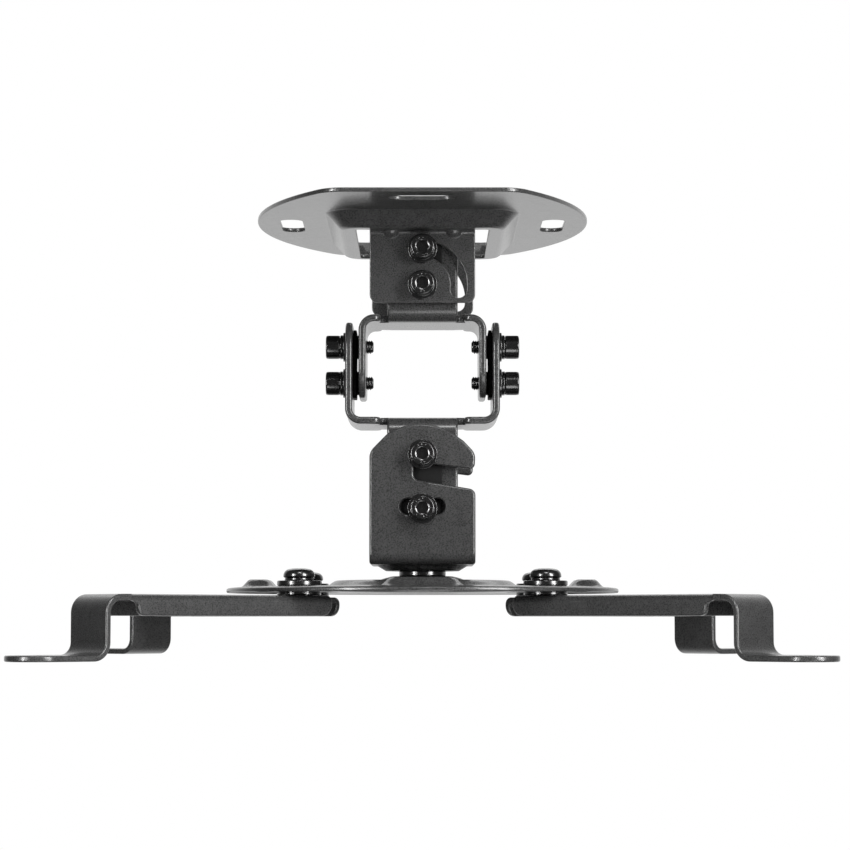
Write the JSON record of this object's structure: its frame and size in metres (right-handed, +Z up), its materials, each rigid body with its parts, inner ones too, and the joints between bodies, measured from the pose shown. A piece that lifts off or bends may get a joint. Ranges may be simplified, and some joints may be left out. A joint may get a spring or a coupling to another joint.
{
  "type": "projector ceiling mount",
  "caption": "Short-drop projector ceiling mount: oval ceiling plate, two tilting cross links, hook-on box, swivelling disc and adjustable arms with round feet.",
  "frame": {"origin": "on the drop axis, at the level of the ceiling", "axes": "+Z up to the ceiling, -Y towards the front of the picture, +X to its right"},
  "size_m": [0.2632, 0.2314, 0.1568],
  "materials": {
    "powder_coat": "satin black powder coat, fine grain",
    "black_steel": "glossy black fasteners",
    "pad_plastic": "matte black"
  },
  "bodies": {
    "ceiling": {"ceiling_plate": "powder_coat"},
    "upper_link": {"upper_link": "powder_coat", "roll_pivot_screws": "black_steel", "roll_lock_screws": "black_steel", "roll_spring_washers": "black_steel", "roll_flat_washers": "black_steel", "roll_pads": "pad_plastic", "tilt_pivot_screws": "black_steel", "tilt_lock_screws": "black_steel", "tilt_spring_washers": "black_steel", "tilt_flat_washers": "black_steel", "tilt_pads": "pad_plastic"},
    "lower_link": {"lower_link": "powder_coat", "hook_pivot_screws": "black_steel", "hook_lock_screws": "black_steel", "hook_spring_washers": "black_steel", "hook_flat_washers": "black_steel", "hook_pads": "pad_plastic"},
    "hook_box": {"hook_box": "powder_coat", "swivel_bolt": "black_steel", "swivel_neck": "black_steel", "swivel_washer": "black_steel", "swivel_nut": "black_steel"},
    "spider": {"spider_disc": "powder_coat", "swivel_disc": "black_steel"},
    "front_left_clamp": {"front_left_screw": "black_steel", "front_left_spring_washer": "black_steel", "front_left_top_washer": "black_steel", "front_left_under_washer": "black_steel", "front_left_nut": "black_steel"},
    "front_left_arm": {"front_left_arm": "powder_coat"},
    "front_right_clamp": {"front_right_screw": "black_steel", "front_right_spring_washer": "black_steel", "front_right_top_washer": "black_steel", "front_right_under_washer": "black_steel", "front_right_nut": "black_steel"},
    "front_right_arm": {"front_right_arm": "powder_coat"},
    "rear_left_clamp": {"rear_left_screw": "black_steel", "rear_left_spring_washer": "black_steel", "rear_left_top_washer": "black_steel", "rear_left_under_washer": "black_steel", "rear_left_nut": "black_steel"},
    "rear_left_arm": {"rear_left_arm": "powder_coat"},
    "rear_right_clamp": {"rear_right_screw": "black_steel", "rear_right_spring_washer": "black_steel", "rear_right_top_washer": "black_steel", "rear_right_under_washer": "black_steel", "rear_right_nut": "black_steel"},
    "rear_right_arm": {"rear_right_arm": "powder_coat"}
  },
  "joints": [
    {"name": "roll", "type": "hinge", "parent": "ceiling", "child": "upper_link", "pos_m": [0, 0, -0.0265], "axis": [0, 1, 0], "range_deg": [0, 50]},
    {"name": "tilt", "type": "hinge", "parent": "upper_link", "child": "lower_link", "pos_m": [0, 0, -0.0463], "axis": [1, 0, 0], "range_deg": [-15, 15]},
    {"name": "hook_roll", "type": "hinge", "parent": "lower_link", "child": "hook_box", "pos_m": [0, 0, -0.0861], "axis": [0, 1, 0], "range_deg": [-15, 15]},
    {"name": "swivel", "type": "hinge", "parent": "hook_box", "child": "spider", "pos_m": [0, 0, -0.128], "axis": [0, 0, 1], "continuous": true},
    {"name": "front_left_pivot", "type": "hinge", "parent": "spider", "child": "front_left_clamp", "pos_m": [-0.04211, -0.03661, -0.135], "axis": [0, 0, 1], "range_deg": [-45, 45]},
    {"name": "front_left_slide", "type": "slide", "parent": "front_left_clamp", "child": "front_left_arm", "axis": [-0.7547, -0.6561, 0], "range_m": [-0.025, 0]},
    {"name": "front_right_pivot", "type": "hinge", "parent": "spider", "child": "front_right_clamp", "pos_m": [0.04211, -0.03661, -0.135], "axis": [0, 0, 1], "range_deg": [-45, 45]},
    {"name": "front_right_slide", "type": "slide", "parent": "front_right_clamp", "child": "front_right_arm", "axis": [0.7547, -0.6561, 0], "range_m": [-0.025, 0]},
    {"name": "rear_left_pivot", "type": "hinge", "parent": "spider", "child": "rear_left_clamp", "pos_m": [-0.04211, 0.03661, -0.135], "axis": [0, 0, 1], "range_deg": [-45, 45]},
    {"name": "rear_left_slide", "type": "slide", "parent": "rear_left_clamp", "child": "rear_left_arm", "axis": [-0.7547, 0.6561, 0], "range_m": [-0.025, 0]},
    {"name": "rear_right_pivot", "type": "hinge", "parent": "spider", "child": "rear_right_clamp", "pos_m": [0.04211, 0.03661, -0.135], "axis": [0, 0, 1], "range_deg": [-45, 45]},
    {"name": "rear_right_slide", "type": "slide", "parent": "rear_right_clamp", "child": "rear_right_arm", "axis": [0.7547, 0.6561, 0], "range_m": [-0.025, 0]}
  ]
}
